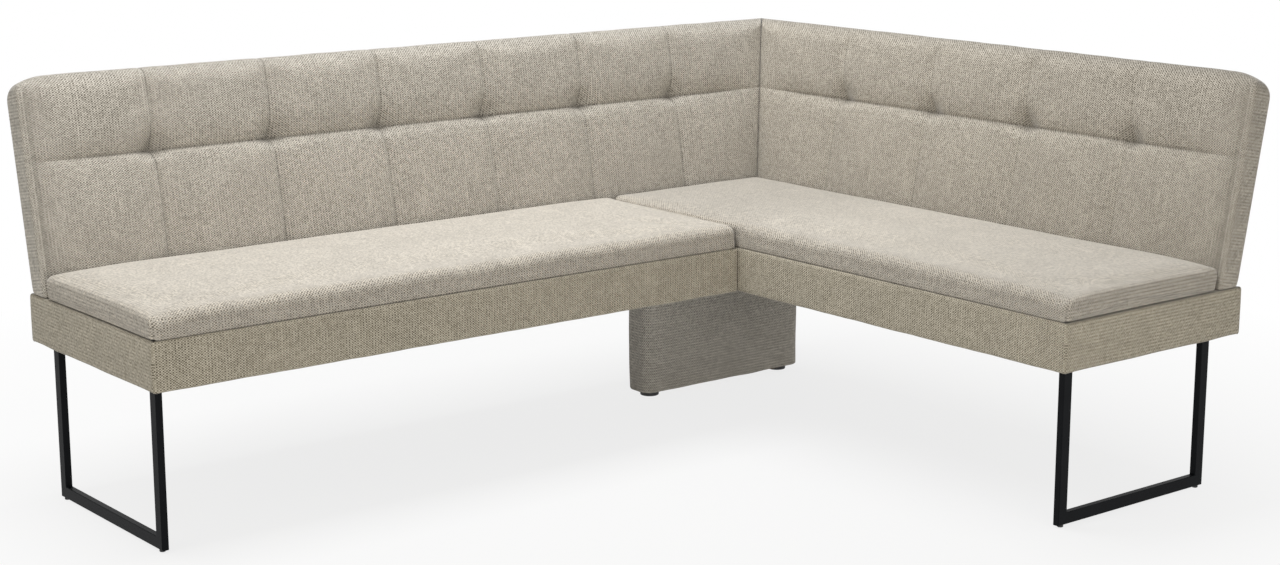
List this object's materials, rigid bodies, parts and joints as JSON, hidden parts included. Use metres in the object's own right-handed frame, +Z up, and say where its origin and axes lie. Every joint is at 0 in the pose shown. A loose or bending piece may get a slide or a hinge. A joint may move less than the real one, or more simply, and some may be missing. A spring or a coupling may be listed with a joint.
{
  "type": "corner bench",
  "caption": "L-shaped upholstered dining corner bench with quilted leaning backrests, flat seat pads, steel skid legs and a padded corner plinth on levelling feet.",
  "frame": {"origin": "centre of the overall bounding box, on the floor", "axes": "+X along the long wing towards the corner, +Y towards the long wing's backrest, +Z up"},
  "size_m": [2.1078, 1.6128, 0.875],
  "materials": {
    "upholstery": "woven, matt",
    "foam": "open-cell foam",
    "webbing": "woven elastic",
    "dust_cloth": "non-woven, matt",
    "frame_wood": "sawn, unfinished",
    "plywood": "sanded, unfinished",
    "black_steel": "satin black powder coat",
    "zinc_steel": "zinc plated",
    "black_plastic": "matt"
  },
  "bodies": {
    "bench": {"back_brackets": "zinc_steel", "bracket_screws": "zinc_steel", "corner_blocks": "frame_wood", "cross_rails": "frame_wood", "glide_inserts": "zinc_steel", "left_leg_front_post": "black_steel", "left_leg_plate": "black_steel", "left_leg_rear_post": "black_steel", "left_leg_runner": "black_steel", "leg_screws": "zinc_steel", "long_back_board": "plywood", "long_back_cover": "upholstery", "long_back_foam": "foam", "long_dust_cloth": "dust_cloth", "long_front_band": "upholstery", "long_front_rail": "frame_wood", "long_inner_band": "upholstery", "long_inner_end_rail": "frame_wood", "long_outer_band": "upholstery", "long_outer_end_rail": "frame_wood", "long_rear_band": "upholstery", "long_rear_rail": "frame_wood", "long_seat_cover": "upholstery", "long_seat_foam": "foam", "plinth_base_board": "plywood", "plinth_bolts": "zinc_steel", "plinth_cover": "upholstery", "plinth_end_posts": "frame_wood", "plinth_foot_nuts": "zinc_steel", "plinth_front_board": "plywood", "plinth_packer": "plywood", "plinth_rear_board": "plywood", "plinth_top_board": "plywood", "right_leg_front_post": "black_steel", "right_leg_plate": "black_steel", "right_leg_rear_post": "black_steel", "right_leg_runner": "black_steel", "seat_webbing": "webbing", "short_back_board": "plywood", "short_back_cover": "upholstery", "short_back_foam": "foam", "short_dust_cloth": "dust_cloth", "short_front_band": "upholstery", "short_front_rail": "frame_wood", "short_inner_band": "upholstery", "short_inner_end_rail": "frame_wood", "short_outer_band": "upholstery", "short_outer_end_rail": "frame_wood", "short_rear_band": "upholstery", "short_rear_rail": "frame_wood", "short_seat_cover": "upholstery", "short_seat_foam": "foam", "wing_bolts": "zinc_steel", "wing_nuts": "zinc_steel"},
    "left_front_glide": {"left_front_glide": "black_plastic"},
    "right_front_glide": {"right_front_glide": "black_plastic"},
    "left_rear_glide": {"left_rear_glide": "black_plastic"},
    "right_rear_glide": {"right_rear_glide": "black_plastic"},
    "plinth_left_foot": {"plinth_left_foot": "black_plastic"},
    "plinth_right_foot": {"plinth_right_foot": "black_plastic"}
  },
  "joints": [
    {"name": "left_front_glide_height", "type": "slide", "parent": "bench", "child": "left_front_glide", "axis": [0, 0, -1], "range_m": [0, 0.006]},
    {"name": "right_front_glide_height", "type": "slide", "parent": "bench", "child": "right_front_glide", "axis": [0, 0, -1], "range_m": [0, 0.006]},
    {"name": "left_rear_glide_height", "type": "slide", "parent": "bench", "child": "left_rear_glide", "axis": [0, 0, -1], "range_m": [0, 0.006]},
    {"name": "right_rear_glide_height", "type": "slide", "parent": "bench", "child": "right_rear_glide", "axis": [0, 0, -1], "range_m": [0, 0.006]},
    {"name": "plinth_left_foot_height", "type": "slide", "parent": "bench", "child": "plinth_left_foot", "axis": [0, 0, -1], "range_m": [0, 0.015]},
    {"name": "plinth_right_foot_height", "type": "slide", "parent": "bench", "child": "plinth_right_foot", "axis": [0, 0, -1], "range_m": [0, 0.015]}
  ]
}
